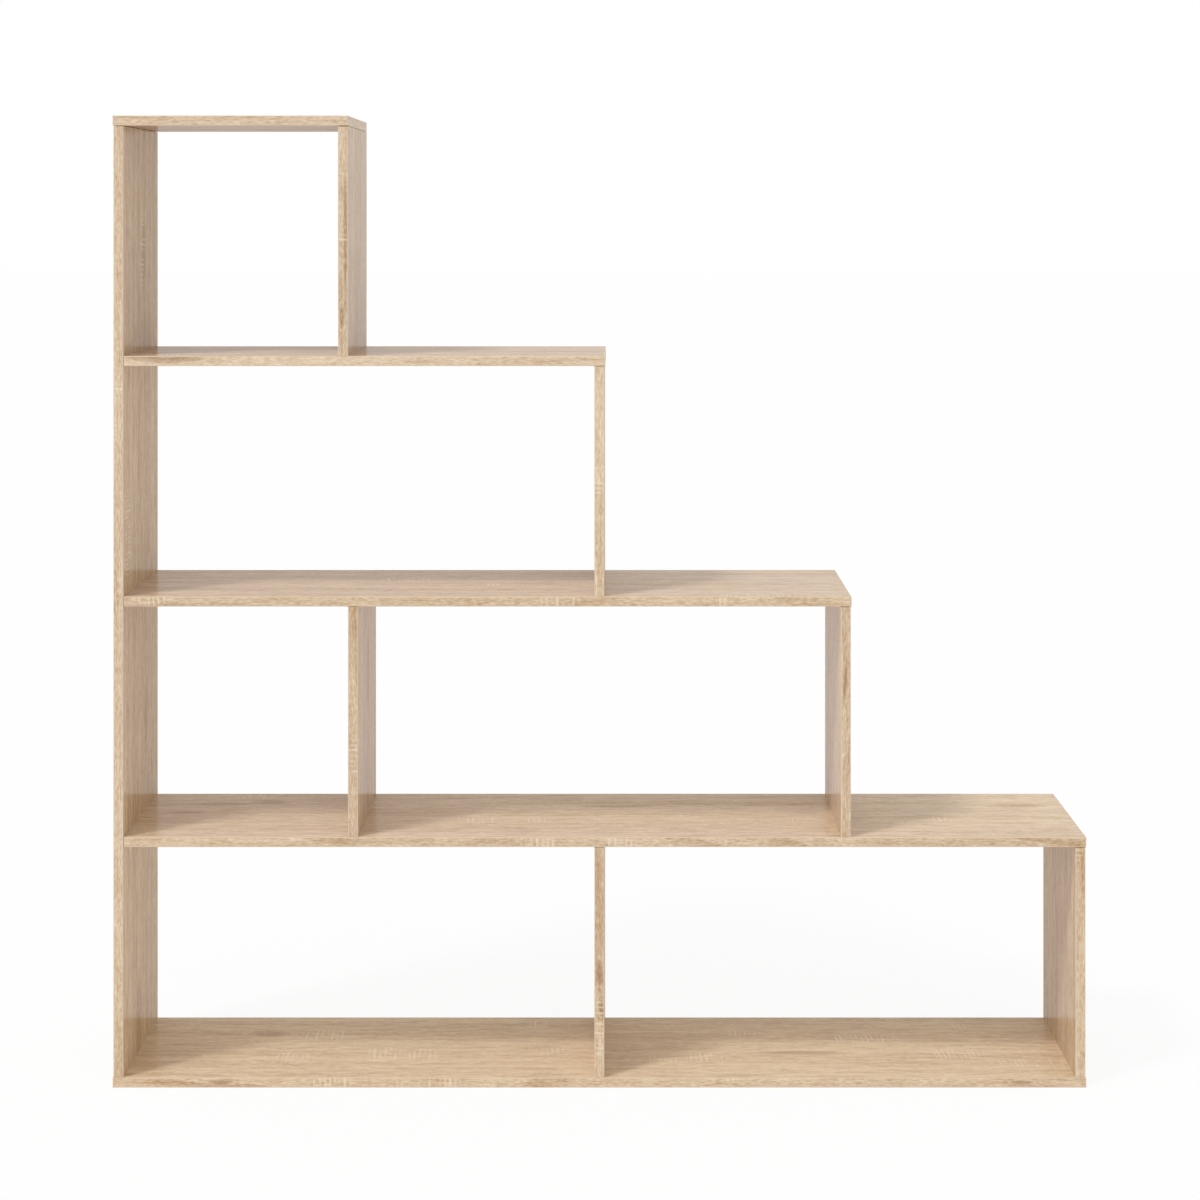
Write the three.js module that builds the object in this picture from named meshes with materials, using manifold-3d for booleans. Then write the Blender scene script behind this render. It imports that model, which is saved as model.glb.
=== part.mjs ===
// An open staircase bookshelf in laminated board. Five boards lie across seven uprights in four
// tiers, each tier shorter than the one under it. The boards are drilled and joined as flat-pack
// furniture is: with confirmat screws, with cams and their bolts, and with wooden dowels.
// Lengths are in millimetres. +X is to the viewer's right, +Y is away from the viewer, +Z is up.
// The origin is on the floor, under the middle of the base board.

import * as THREE from "three";
import { mergeVertices } from "three/addons/utils/BufferGeometryUtils.js";
import Module from "manifold-3d";

const wasm = await Module();
wasm.setup();

// Boards
const boardThickness = 15;
const boardDepth = 290;
const bandRadius = 1.5; // rounding that the trimmed edge band leaves on a board's edge
const clearHeight = 343.75; // open height of every tier
const endOverhang = 1.25; // how far a lying board stands past the outer face of its last upright

// Width of each tier, from the outer face of the left side to that of the tier's last upright
const topTierWidth = 350;
const secondTierWidth = 732.5;
const thirdTierWidth = 1100;
const bottomTierWidth = 1450;

// Room around every fitting in its hole, and the length that a cut runs past a face
const fitClearance = 0.3;
const overrun = 2;

// From the front or back edge of a board to the fitting nearest to it
const fittingInset = 50;

// Confirmat screw: a countersunk head, a smooth shoulder and a thread, drawn at its core
const screwLength = 50;
const screwHeadRadius = 4.75;
const screwHeadHeight = 3.5;
const screwHeadSink = 0.3; // the head's face lies this far under the board's face
const screwShoulderRadius = 3.4;
const screwShoulderSetback = 2; // the shoulder ends this far inside the first board
const screwCoreRadius = 2.4;
const screwTipRadius = 1;
const screwTipLength = 4;
const screwSocketRadius = 2.3; // over the corners of the hexagon
const screwSocketDepth = 2.6;

// Cam bolt: its thread is in the lying board, and its ball head hangs in the cam
const boltThreadRadius = 3;
const boltThreadCover = 4; // board that is left over the end of the thread
const boltCollarRadius = 3.7;
const boltCollarHeight = 1.2;
const boltShaftRadius = 2.9;
const boltNeckRadius = 2.1;
const boltHeadRadius = 3.3;
const boltHeadOffset = 0.5; // from the cam's axis to the middle of the ball, towards the joint

// Cam: turned half round, its spiral wall draws the bolt's head in
const camDistance = 34; // from the joint to the cam's axis
const camRadius = 7.2;
const camRimWall = 1.4; // wall beside the way in, where the spiral is widest
const camBackWeb = 0.8;
const camFaceSink = 0.3;
const camDriveWidth = 1.3;
const camDriveDepthShare = 0.6; // of the web over the chamber
const camDriveLengthShare = 0.45; // of the cam's diameter

// Wooden dowel
const dowelRadius = 4;
const dowelLength = 30;
const dowelChamfer = 1;
const dowelCover = 5; // board that is left over the dowel's end

// Facets
const bandSteps = 2;
const screwSides = 10;
const boltSides = 10;
const boltHeadSteps = 3;
const camSides = 20;
const camSpiralSteps = 16;
const dowelSides = 10;
const socketSides = 6;

// Places that follow from the sizes
const quarterTurn = Math.PI / 2;
const leftFace = -bottomTierWidth / 2;
const innerFace = leftFace + boardThickness;
const tierPitch = boardThickness + clearHeight;
const middleOfBoard = boardThickness / 2;
const fittingRows = { front: fittingInset - boardDepth / 2, back: boardDepth / 2 - fittingInset };

// The way that a fitting's own +Z points once it is in its board. A cam's own +Y then points up.
const axisX = new THREE.Vector3(1, 0, 0);
const axisY = new THREE.Vector3(0, 1, 0);
const axisZ = new THREE.Vector3(0, 0, 1);
const facingUp = new THREE.Matrix4();
const facingRight = new THREE.Matrix4().makeBasis(axisY, axisZ, axisX);
const facingLeft = new THREE.Matrix4().makeBasis(axisY.clone().negate(), axisZ, axisX.clone().negate());

const finishes = {
  board: { color: 0xd0b48f, roughness: 0.6, metalness: 0 },
  screw: { color: 0xb4b5b6, roughness: 0.35, metalness: 0.9 },
  cam: { color: 0xc2c3c4, roughness: 0.45, metalness: 0.9 },
  dowel: { color: 0xdcc39a, roughness: 0.8, metalness: 0 },
};

// Solids are cut as manifolds and shown as geometries

function solidFrom(geometry) {
  geometry.deleteAttribute("normal");
  geometry.deleteAttribute("uv");
  const welded = mergeVertices(geometry);
  const vertProperties = welded.attributes.position.array;
  const triVerts = new Uint32Array(welded.index.array);
  return new wasm.Manifold(new wasm.Mesh({ numProp: 3, vertProperties, triVerts }));
}

function geometryFrom(solid) {
  const { vertProperties, triVerts } = solid.getMesh();
  const geometry = new THREE.BufferGeometry();
  geometry.setAttribute("position", new THREE.BufferAttribute(vertProperties, 3));
  geometry.setIndex(new THREE.BufferAttribute(triVerts, 1));
  geometry.computeVertexNormals();
  return geometry;
}

function meshFrom(name, solid, finish) {
  const mesh = new THREE.Mesh(geometryFrom(solid), new THREE.MeshStandardMaterial(finishes[finish]));
  mesh.name = name;
  return mesh;
}

// A box between two corners
function boxSolid(low, high) {
  const size = new THREE.Vector3().subVectors(high, low);
  const geometry = new THREE.BoxGeometry(size.x, size.y, size.z);
  geometry.translate(low.x + size.x / 2, low.y + size.y / 2, low.z + size.z / 2);
  return solidFrom(geometry);
}

// A profile of [radius, height] pairs, from the axis and back to it, turned about +Z
function turnedSolid(profile, sides) {
  const points = profile.map(([radius, height]) => new THREE.Vector2(radius, height));
  const geometry = new THREE.LatheGeometry(points, sides);
  geometry.rotateX(quarterTurn);
  return solidFrom(geometry);
}

// Boards, each in its own frame: x from its left end, y from the middle of its depth, z from its base

// A lying board is banded all round, but a shelf's end at the left side is sawn square
function lyingSolid(length, meetsSide) {
  const start = meetsSide ? -bandRadius : 0;
  const outline = new THREE.Shape([
    new THREE.Vector2(start, -boardDepth / 2),
    new THREE.Vector2(length, -boardDepth / 2),
    new THREE.Vector2(length, boardDepth / 2),
    new THREE.Vector2(start, boardDepth / 2),
  ]);
  const geometry = new THREE.ExtrudeGeometry(outline, {
    depth: boardThickness - 2 * bandRadius,
    bevelThickness: bandRadius,
    bevelSize: bandRadius,
    bevelOffset: -bandRadius,
    bevelSegments: bandSteps,
  });
  geometry.translate(0, 0, bandRadius);
  const plate = solidFrom(geometry);
  if (!meetsSide) return plate;
  const low = new THREE.Vector3(start - overrun, -boardDepth / 2 - overrun, -overrun);
  const high = new THREE.Vector3(0, boardDepth / 2 + overrun, boardThickness + overrun);
  return plate.subtract(boxSolid(low, high));
}

// An upright is banded along its front and back edges and sawn square at both ends
function uprightSolid(height) {
  const outline = new THREE.Shape();
  const reach = boardDepth / 2 - bandRadius;
  const inner = boardThickness - bandRadius;
  outline.absarc(bandRadius, -reach, bandRadius, 2 * quarterTurn, 3 * quarterTurn);
  outline.absarc(inner, -reach, bandRadius, 3 * quarterTurn, 4 * quarterTurn);
  outline.absarc(inner, reach, bandRadius, 0, quarterTurn);
  outline.absarc(bandRadius, reach, bandRadius, quarterTurn, 2 * quarterTurn);
  const curveSegments = bandSteps / 2; // each arc has twice as many steps
  return solidFrom(new THREE.ExtrudeGeometry(outline, { depth: height, bevelEnabled: false, curveSegments }));
}

// A board is kept as a solid and a place until all its holes are drilled
function lyingBoard(name, left, right, level) {
  const solid = lyingSolid(right - left, left === innerFace);
  return { name, solid, left, bottom: level * tierPitch };
}

function upright(name, left, level, tiers) {
  const solid = uprightSolid(tiers * tierPitch - boardThickness);
  return { name, solid, left, bottom: level * tierPitch + boardThickness };
}

function drill(board, cutter, turn, x, y, z) {
  const matrix = turn.clone().setPosition(x - board.left, y, z - board.bottom);
  board.solid = board.solid.subtract(cutter.transform(matrix.elements));
}

// Confirmat screw, from its head's face at zero to its tip
function screwSolid() {
  const shoulderEnd = boardThickness - screwHeadSink - screwShoulderSetback;
  const body = turnedSolid([
    [0, 0],
    [screwHeadRadius, 0],
    [screwShoulderRadius, screwHeadHeight],
    [screwShoulderRadius, shoulderEnd],
    [screwCoreRadius, shoulderEnd],
    [screwCoreRadius, screwLength - screwTipLength],
    [screwTipRadius, screwLength],
    [0, screwLength],
  ], screwSides);
  const socket = new THREE.CylinderGeometry(
    screwSocketRadius, screwSocketRadius, screwSocketDepth + overrun, socketSides,
  );
  socket.rotateX(quarterTurn);
  socket.translate(0, 0, (screwSocketDepth - overrun) / 2);
  return body.subtract(solidFrom(socket));
}

// Its holes: a countersunk one right through the first board, and a pilot bore in the second
function screwPassageSolid() {
  const head = screwHeadRadius + fitClearance;
  const shoulder = screwShoulderRadius + fitClearance;
  const mouth = -screwHeadSink - overrun;
  const exit = boardThickness + overrun;
  return turnedSolid([
    [0, mouth],
    [head, mouth],
    [head, 0],
    [shoulder, screwHeadHeight],
    [shoulder, exit],
    [0, exit],
  ], screwSides);
}

function screwPilotSolid() {
  const radius = screwCoreRadius + fitClearance;
  const end = screwLength + fitClearance;
  return turnedSolid([[0, 0], [radius, 0], [radius, end], [0, end]], screwSides);
}

// Cam bolt, from the bottom of its ball head up to the end of its thread. The joint is at zero.
function boltSolid() {
  const ballHeight = boltHeadOffset - camDistance;
  const neckAngle = Math.acos(boltNeckRadius / boltHeadRadius);
  const profile = [];
  for (let step = 0; step <= boltHeadSteps; step += 1) {
    const angle = -quarterTurn + (neckAngle + quarterTurn) * step / boltHeadSteps;
    const radius = step === 0 ? 0 : boltHeadRadius * Math.cos(angle);
    profile.push([radius, ballHeight + boltHeadRadius * Math.sin(angle)]);
  }
  const neckTop = camRadius + fitClearance - camDistance;
  const threadLength = boardThickness - boltThreadCover;
  profile.push(
    [boltNeckRadius, neckTop],
    [boltShaftRadius, neckTop],
    [boltShaftRadius, -boltCollarHeight],
    [boltCollarRadius, -boltCollarHeight],
    [boltCollarRadius, 0],
    [boltThreadRadius, 0],
    [boltThreadRadius, threadLength],
    [0, threadLength],
  );
  return turnedSolid(profile, boltSides);
}

// Hole for the bolt's thread in the lying board, and the bore for the rest of it in the upright
function boltHoleSolid() {
  const radius = boltThreadRadius + fitClearance;
  const depth = boardThickness - boltThreadCover + fitClearance;
  return turnedSolid([[0, -overrun], [radius, -overrun], [radius, depth], [0, depth]], boltSides);
}

function boltBoreSolid() {
  const radius = Math.max(boltCollarRadius, boltShaftRadius, boltHeadRadius) + fitClearance;
  return turnedSolid(
    [[0, -camDistance], [radius, -camDistance], [radius, overrun], [0, overrun]],
    boltSides,
  );
}

// Cam, seen from its face: zero is the board's face, +Z is out of the board and +Y is to the joint
const camChamberHalf = boltHeadRadius + fitClearance;
const camBottom = -middleOfBoard - camChamberHalf - camBackWeb;

// The chamber is a circle that just holds the ball, and on the slot's side a spiral that widens
// from there to the way in, half a turn away
function camChamberOutline() {
  const lockedRadius = boltHeadRadius + boltHeadOffset + fitClearance;
  const entryRadius = camRadius - camRimWall;
  const points = [];
  for (let step = 0; step < camSpiralSteps; step += 1) {
    const turn = 2 * Math.PI * step / camSpiralSteps;
    const widening = turn <= Math.PI ? (entryRadius - lockedRadius) * turn / Math.PI : 0;
    const radius = lockedRadius + widening;
    points.push(new THREE.Vector2(-radius * Math.sin(turn), radius * Math.cos(turn)));
  }
  return new THREE.Shape(points);
}

function camDriveSolids() {
  const web = middleOfBoard - camChamberHalf - camFaceSink;
  const half = camDriveLengthShare * camRadius;
  const floor = -camFaceSink - camDriveDepthShare * web;
  const arms = [[half, camDriveWidth / 2], [camDriveWidth / 2, half]];
  return arms.map(([x, y]) => boxSolid(new THREE.Vector3(-x, -y, floor), new THREE.Vector3(x, y, overrun)));
}

function camSolid() {
  const height = -camFaceSink - camBottom;
  const body = new THREE.CylinderGeometry(camRadius, camRadius, height, camSides);
  body.rotateX(quarterTurn);
  body.translate(0, 0, camBottom + height / 2);
  const chamber = new THREE.ExtrudeGeometry(camChamberOutline(), {
    depth: 2 * camChamberHalf,
    bevelEnabled: false,
  });
  chamber.translate(0, 0, -middleOfBoard - camChamberHalf);
  const past = camRadius + overrun;
  const neckHalf = boltNeckRadius + fitClearance;
  const neckSlot = boxSolid(
    new THREE.Vector3(-past, -past, -middleOfBoard - neckHalf),
    new THREE.Vector3(neckHalf, past, -middleOfBoard + neckHalf),
  );
  const wayIn = boxSolid(
    new THREE.Vector3(-camChamberHalf, -past, -middleOfBoard - camChamberHalf),
    new THREE.Vector3(camChamberHalf, 0, -middleOfBoard + camChamberHalf),
  );
  const cuts = [solidFrom(chamber), neckSlot, wayIn, ...camDriveSolids()];
  return cuts.reduce((solid, cut) => solid.subtract(cut), solidFrom(body));
}

function camPocketSolid() {
  const floor = camBottom - fitClearance;
  const radius = camRadius + fitClearance;
  return turnedSolid([[0, floor], [radius, floor], [radius, overrun], [0, overrun]], camSides);
}

// Dowel, from its lower end in the upright. The hole is a plain bore, a little longer at both ends.
function dowelSolid() {
  const narrow = dowelRadius - dowelChamfer;
  return turnedSolid([
    [0, 0],
    [narrow, 0],
    [dowelRadius, dowelChamfer],
    [dowelRadius, dowelLength - dowelChamfer],
    [narrow, dowelLength],
    [0, dowelLength],
  ], dowelSides);
}

function dowelHoleSolid() {
  const radius = dowelRadius + fitClearance;
  const top = dowelLength + fitClearance;
  return turnedSolid([[0, -fitClearance], [radius, -fitClearance], [radius, top], [0, top]], dowelSides);
}

// Joints. Each has one fitting near the front and one near the back.

const screw = screwSolid();
const screwPassage = screwPassageSolid();
const screwPilot = screwPilotSolid();
const bolt = boltSolid();
const boltHole = boltHoleSolid();
const boltBore = boltBoreSolid();
const cam = camSolid();
const camPocket = camPocketSolid();
const dowel = dowelSolid();
const dowelHole = dowelHoleSolid();
const fittings = new THREE.Group();

function seat(name, solid, finish, turn, x, y, z) {
  const mesh = meshFrom(name, solid, finish);
  mesh.applyMatrix4(turn.clone().setPosition(x, y, z));
  fittings.add(mesh);
}

// Screws from beneath a lying board, up into the foot of the upright on it
function screwUp(lying, standing) {
  const x = standing.left + middleOfBoard;
  const z = lying.bottom + screwHeadSink;
  for (const [row, y] of Object.entries(fittingRows)) {
    drill(lying, screwPassage, facingUp, x, y, z);
    drill(standing, screwPilot, facingUp, x, y, z);
    seat(`screw_${standing.name}_foot_${row}`, screw, "screw", facingUp, x, y, z);
  }
}

// Screws through the outer face of the left side, into the end of a shelf
function screwAcross(side, shelf) {
  const x = side.left + screwHeadSink;
  const z = shelf.bottom + middleOfBoard;
  for (const [row, y] of Object.entries(fittingRows)) {
    drill(side, screwPassage, facingRight, x, y, z);
    drill(shelf, screwPilot, facingRight, x, y, z);
    seat(`screw_${shelf.name}_end_${row}`, screw, "screw", facingRight, x, y, z);
  }
}

// Cams in one face of an upright, on bolts that hang from the board over it
function camJoint(standing, lying, turn) {
  const middle = standing.left + middleOfBoard;
  const face = turn === facingRight ? standing.left + boardThickness : standing.left;
  const joint = lying.bottom;
  for (const [row, y] of Object.entries(fittingRows)) {
    drill(lying, boltHole, facingUp, middle, y, joint);
    drill(standing, boltBore, facingUp, middle, y, joint);
    drill(standing, camPocket, turn, face, y, joint - camDistance);
    seat(`cam_bolt_${standing.name}_${row}`, bolt, "screw", facingUp, middle, y, joint);
    seat(`cam_${standing.name}_${row}`, cam, "cam", turn, face, y, joint - camDistance);
  }
}

// Dowels from the top of an upright into the board over it
function dowelJoint(standing, lying) {
  const x = standing.left + middleOfBoard;
  const z = lying.bottom + boardThickness - dowelCover - dowelLength;
  for (const [row, y] of Object.entries(fittingRows)) {
    drill(lying, dowelHole, facingUp, x, y, z);
    drill(standing, dowelHole, facingUp, x, y, z);
    seat(`dowel_${standing.name}_${row}`, dowel, "dowel", facingUp, x, y, z);
  }
}

// The boards of the bookshelf, by level from the floor

const lastUprightOf = (tierWidth) => leftFace + tierWidth - boardThickness;
const freeEndOf = (tierWidth) => leftFace + tierWidth + endOverhang;

const baseBoard = lyingBoard("base_board", leftFace - endOverhang, freeEndOf(bottomTierWidth), 0);
const lowerShelf = lyingBoard("lower_shelf", innerFace, freeEndOf(bottomTierWidth), 1);
const middleShelf = lyingBoard("middle_shelf", innerFace, freeEndOf(thirdTierWidth), 2);
const upperShelf = lyingBoard("upper_shelf", innerFace, freeEndOf(secondTierWidth), 3);
const topBoard = lyingBoard("top_board", leftFace - endOverhang, leftFace + topTierWidth, 4);

const leftSide = upright("left_side", leftFace, 0, 4);
const bottomSide = upright("bottom_tier_side", lastUprightOf(bottomTierWidth), 0, 1);
const bottomDivider = upright("bottom_tier_divider", lastUprightOf(secondTierWidth), 0, 1);
const thirdSide = upright("third_tier_side", lastUprightOf(thirdTierWidth), 1, 1);
const thirdDivider = upright("third_tier_divider", leftFace + topTierWidth, 1, 1); // in line with the cube
const secondSide = upright("second_tier_side", lastUprightOf(secondTierWidth), 2, 1);
const topSide = upright("top_tier_side", lastUprightOf(topTierWidth), 3, 1);

screwUp(baseBoard, leftSide);
screwUp(baseBoard, bottomDivider);
screwUp(baseBoard, bottomSide);
screwUp(lowerShelf, thirdDivider);
screwUp(lowerShelf, thirdSide);
screwUp(middleShelf, secondSide);
screwUp(upperShelf, topSide);

screwAcross(leftSide, lowerShelf);
screwAcross(leftSide, middleShelf);
screwAcross(leftSide, upperShelf);

camJoint(leftSide, topBoard, facingLeft);
camJoint(topSide, topBoard, facingLeft);
camJoint(secondSide, upperShelf, facingRight);
camJoint(thirdSide, middleShelf, facingRight);
camJoint(bottomSide, lowerShelf, facingRight);

dowelJoint(thirdDivider, middleShelf);
dowelJoint(bottomDivider, lowerShelf);

const boards = new THREE.Group();
const lyingBoards = [baseBoard, lowerShelf, middleShelf, upperShelf, topBoard];
const uprights = [leftSide, bottomSide, bottomDivider, thirdSide, thirdDivider, secondSide, topSide];
for (const board of [...lyingBoards, ...uprights]) {
  const mesh = meshFrom(board.name, board.solid, "board");
  mesh.position.set(board.left, 0, board.bottom);
  boards.add(mesh);
}

const bookshelf = new THREE.Group();
bookshelf.add(boards, fittings);

export default bookshelf;
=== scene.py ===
# %% [markdown]
# # An open staircase bookshelf
#
# Twelve boards of laminated chipboard make four tiers, each shorter than the one under it. The
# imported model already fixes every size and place, so this script only dresses it: it looks up
# where each board and fitting is, builds a finer piece in the same place, and gives it a finish.
# Lengths are in metres. +X is to the viewer's right, +Y away from the viewer and +Z up.

# %% Load the frame
import math

import bmesh
import bpy
from mathutils import Matrix, Vector


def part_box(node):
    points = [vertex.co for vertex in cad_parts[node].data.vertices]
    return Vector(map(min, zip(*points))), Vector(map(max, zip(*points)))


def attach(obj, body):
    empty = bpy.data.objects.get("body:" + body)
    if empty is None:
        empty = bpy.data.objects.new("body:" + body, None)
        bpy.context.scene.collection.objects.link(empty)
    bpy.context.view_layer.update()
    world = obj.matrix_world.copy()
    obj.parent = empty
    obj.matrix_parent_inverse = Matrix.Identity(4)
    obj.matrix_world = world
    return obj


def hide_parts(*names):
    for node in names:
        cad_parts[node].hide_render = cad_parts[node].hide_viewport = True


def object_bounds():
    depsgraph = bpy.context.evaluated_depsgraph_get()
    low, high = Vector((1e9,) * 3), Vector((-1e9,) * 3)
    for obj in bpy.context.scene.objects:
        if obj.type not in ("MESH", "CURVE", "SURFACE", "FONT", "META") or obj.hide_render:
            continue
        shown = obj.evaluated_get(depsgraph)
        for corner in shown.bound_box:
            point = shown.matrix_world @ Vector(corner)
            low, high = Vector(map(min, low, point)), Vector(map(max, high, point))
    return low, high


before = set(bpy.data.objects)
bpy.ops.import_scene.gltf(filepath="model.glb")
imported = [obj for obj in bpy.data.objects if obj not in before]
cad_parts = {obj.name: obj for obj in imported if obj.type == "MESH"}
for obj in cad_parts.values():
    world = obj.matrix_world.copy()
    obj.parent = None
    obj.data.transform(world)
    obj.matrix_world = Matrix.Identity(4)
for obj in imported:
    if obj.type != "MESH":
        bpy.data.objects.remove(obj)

MM = 0.001
scene = bpy.context.scene
cad_low, cad_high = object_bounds()
cad_size = cad_high - cad_low
print("The bookshelf measures", [round(side, 4) for side in cad_size], "metres")

# %% [markdown]
# ## The camera
#
# The photograph is a straight front view: uprights stay upright, lying boards stay level, and the
# depth lines run to one point. Turning the camera down would make the uprights lean, so it looks
# square at the front and its lens is shifted, as on an architect's camera. The back edges are
# drawn at 93% of the size of the front edges, and with the depth of the boards that says how far
# away the eye is.

# %% Place the camera by the photograph
photo_side_px = 1200
vanishing_px = Vector((615.0, 216.0))
base_left_px, base_right_px = 112.43, 1086.4
base_underside_px = 1087.77
back_scale_share = 0.9299
sensor_width_mm = 36.0


def place_object(name, data):
    thing = bpy.data.objects.new(name, data)
    scene.collection.objects.link(thing)
    return thing


px_per_metre = (base_right_px - base_left_px) / cad_size.x
eye_distance = cad_size.y * back_scale_share / (1 - back_scale_share)
eye = Vector((
    (vanishing_px.x - (base_left_px + base_right_px) / 2) / px_per_metre,
    cad_low.y - eye_distance,
    cad_low.z + (base_underside_px - vanishing_px.y) / px_per_metre,
))

camera_data = bpy.data.cameras.new("photo_camera")
camera_data.sensor_width = sensor_width_mm
camera_data.lens = sensor_width_mm * px_per_metre * eye_distance / photo_side_px
camera_data.shift_x = 0.5 - vanishing_px.x / photo_side_px
camera_data.shift_y = vanishing_px.y / photo_side_px - 0.5
camera = place_object("photo_camera", camera_data)
camera.location = eye
camera.rotation_euler = (math.pi / 2, 0, 0)
scene.camera = camera
scene.view_settings.view_transform = "Standard"
print("Eye at", [round(place, 3) for place in eye], "with a lens of", round(camera_data.lens, 1), "mm")

# %% [markdown]
# ## Helpers for node trees
#
# Materials here are drawn by nodes. Adding a node, setting it up and wiring it takes several lines
# each time, so a few small helpers do that. Colours are written as a paint chart gives them, from
# 0 to 255, and turned into the linear values that the renderer works with.

# %% Add and wire nodes
def feed(tree, node, inputs):
    """Feeds each input of a node with a value or with another node's output."""
    for name, value in inputs.items():
        if isinstance(value, bpy.types.NodeSocket):
            tree.links.new(value, node.inputs[name])
        else:
            node.inputs[name].default_value = value


def add(tree, kind, inputs=None, **settings):
    """Adds a node, sets it up and feeds its inputs."""
    node = tree.nodes.new("ShaderNode" + kind)
    for name, value in settings.items():
        setattr(node, name, value)
    feed(tree, node, inputs or {})
    return node


def maths(tree, operation, *values):
    return add(tree, "Math", dict(enumerate(values)), operation=operation).outputs[0]


def times(tree, *values):
    return maths(tree, "MULTIPLY", *values)


def times_plus(tree, *values):
    return maths(tree, "MULTIPLY_ADD", *values)


def vectors(tree, operation, *values):
    return add(tree, "VectorMath", dict(enumerate(values)), operation=operation).outputs[0]


def between(tree, value, low, high):
    """0 at or below low, 1 at or above high, and a soft step in between."""
    inputs = {"Value": value, "From Min": low, "From Max": high}
    return add(tree, "MapRange", inputs, interpolation_type="SMOOTHSTEP").outputs[0]


print("Node helpers: feed, add, maths, times, times_plus, vectors and between")


# %% Mix colours from a paint chart
def mix_colours(tree, factor, first, second, blend_type="MIX"):
    inputs = {0: factor, 6: first, 7: second}
    return add(tree, "Mix", inputs, data_type="RGBA", blend_type=blend_type).outputs[2]


def paint(red, green, blue):
    """A colour from 0 to 255 as the renderer's linear red, green, blue and alpha."""
    channels = [value / 255 for value in (red, green, blue)]
    return (*((c / 12.92 if c <= 0.04045 else ((c + 0.055) / 1.055) ** 2.4) for c in channels), 1.0)


print("A board's pale tone in linear values:", [round(c, 3) for c in paint(212, 188, 158)])

# %% [markdown]
# ## The studio
#
# The photograph has a white room: white behind the bookshelf and white seen in its gloss. Lighting
# a floor until it burns out would also burn out the boards. So the white is painted only for what
# the camera sees and for what gloss reflects, and the light on the boards is set apart: a wide
# dome, stronger from the front, and one soft light from the front left, above. That light is a sun
# with a wide disk, because a lamp near by would light the top of so tall a thing more than its
# foot, and the photograph shows all four tiers equally bright.

# %% Light the room with a dome
dome_front_level = 0.96
dome_back_level = 0.42

world = bpy.data.worlds.new("white_studio")
scene.world = world
world.use_nodes = True
tree = world.node_tree
tree.nodes.clear()


def seen_directly(tree):
    """1 for what the camera sees straight on, in gloss or through glass, 0 for light on surfaces."""
    ray = add(tree, "LightPath").outputs
    seen = maths(tree, "MAXIMUM", ray["Is Camera Ray"], ray["Is Glossy Ray"])
    return maths(tree, "MAXIMUM", seen, ray["Is Transmission Ray"])


direction = add(tree, "TexCoord").outputs["Generated"]
to_front = times(tree, add(tree, "SeparateXYZ", {0: direction}).outputs["Y"], -1.0)
level = add(tree, "MapRange", {
    "Value": to_front, "From Min": -1.0, "From Max": 1.0,
    "To Min": dome_back_level, "To Max": dome_front_level,
}).outputs[0]
dome = add(tree, "Background", {"Color": (1.0, 1.0, 1.0, 1.0), "Strength": level})
white = add(tree, "Background", {"Color": (1.0, 1.0, 1.0, 1.0), "Strength": 1.0})
sky = add(tree, "MixShader", {0: seen_directly(tree), 1: dome.outputs[0], 2: white.outputs[0]})
add(tree, "OutputWorld", {"Surface": sky.outputs[0]})
print("The dome goes from", dome_back_level, "behind to", dome_front_level, "in front")

# %% Hang the key light
key_direction = Vector((0.56, 0.51, -1.0)).normalized()
key_spread = math.radians(10.5)
key_strength = 1.09

key_data = bpy.data.lights.new("key_sun", "SUN")
key_data.angle = key_spread
key_data.energy = key_strength
key = place_object("key_sun", key_data)
key.rotation_euler = key_direction.to_track_quat("-Z", "Y").to_euler()
print("The key light comes down at", round(math.degrees(math.asin(-key_direction.z))), "degrees")

# %% Lay the floor
floor_half_side = 60.0
floor_white_share = 0.9  # of what the camera sees: the rest shows the shadow

floor_mesh = bpy.data.meshes.new("studio_floor")
corners = [(-1, -1), (1, -1), (1, 1), (-1, 1)]
points = [(x * floor_half_side, y * floor_half_side, cad_low.z) for x, y in corners]
floor_mesh.from_pydata(points, [], [(0, 1, 2, 3)])
floor = place_object("studio_floor", floor_mesh)

floor_paint = bpy.data.materials.new("studio_floor")
floor_paint.use_nodes = True
tree = floor_paint.node_tree
tree.nodes.clear()
matte = add(tree, "BsdfDiffuse", {"Color": paint(252, 252, 252)})
glow = add(tree, "Emission", {"Color": (1.0, 1.0, 1.0, 1.0), "Strength": 1.0})
share = times(tree, seen_directly(tree), floor_white_share)
surface = add(tree, "MixShader", {0: share, 1: matte.outputs[0], 2: glow.outputs[0]})
add(tree, "OutputMaterial", {"Surface": surface.outputs[0]})
floor_mesh.materials.append(floor_paint)
print("The floor lies at", cad_low.z)

# %% [markdown]
# ## Where the boards lie
#
# First the script asks the frame for the boards and fittings. Every board is covered with a
# printed film, a flat sheet with its grain one way. So each board gets its own start on one endless
# sheet, in metres: U along the grain and V across it. A board that starts elsewhere shows other
# wood. Each board also gets a small shift in tone, for its film and for its bands, and a third value
# says how pink its film is. No two boards of a delivery are quite as pale, but the film's tone and
# pinkness are also painted light and shade: darker on boards seen in shade or brightened by their
# gloss, such as the top board from below and the upper shelves, lighter on the base board and the
# lower shelf, and less pink where a board lies in warm shade, such as the base board and left side.

# %% Find the boards and the fittings
board_names = [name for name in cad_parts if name.split("_")[0] not in ("screw", "cam", "dowel")]
fitting_names = sorted(set(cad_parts) - set(board_names))
left_low, left_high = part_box("left_side")


def thin_axis(name):
    """0 for an upright, whose thickness is along X, and 2 for a lying board."""
    low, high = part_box(name)
    return 0 if high.x - low.x < high.z - low.z else 2


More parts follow.
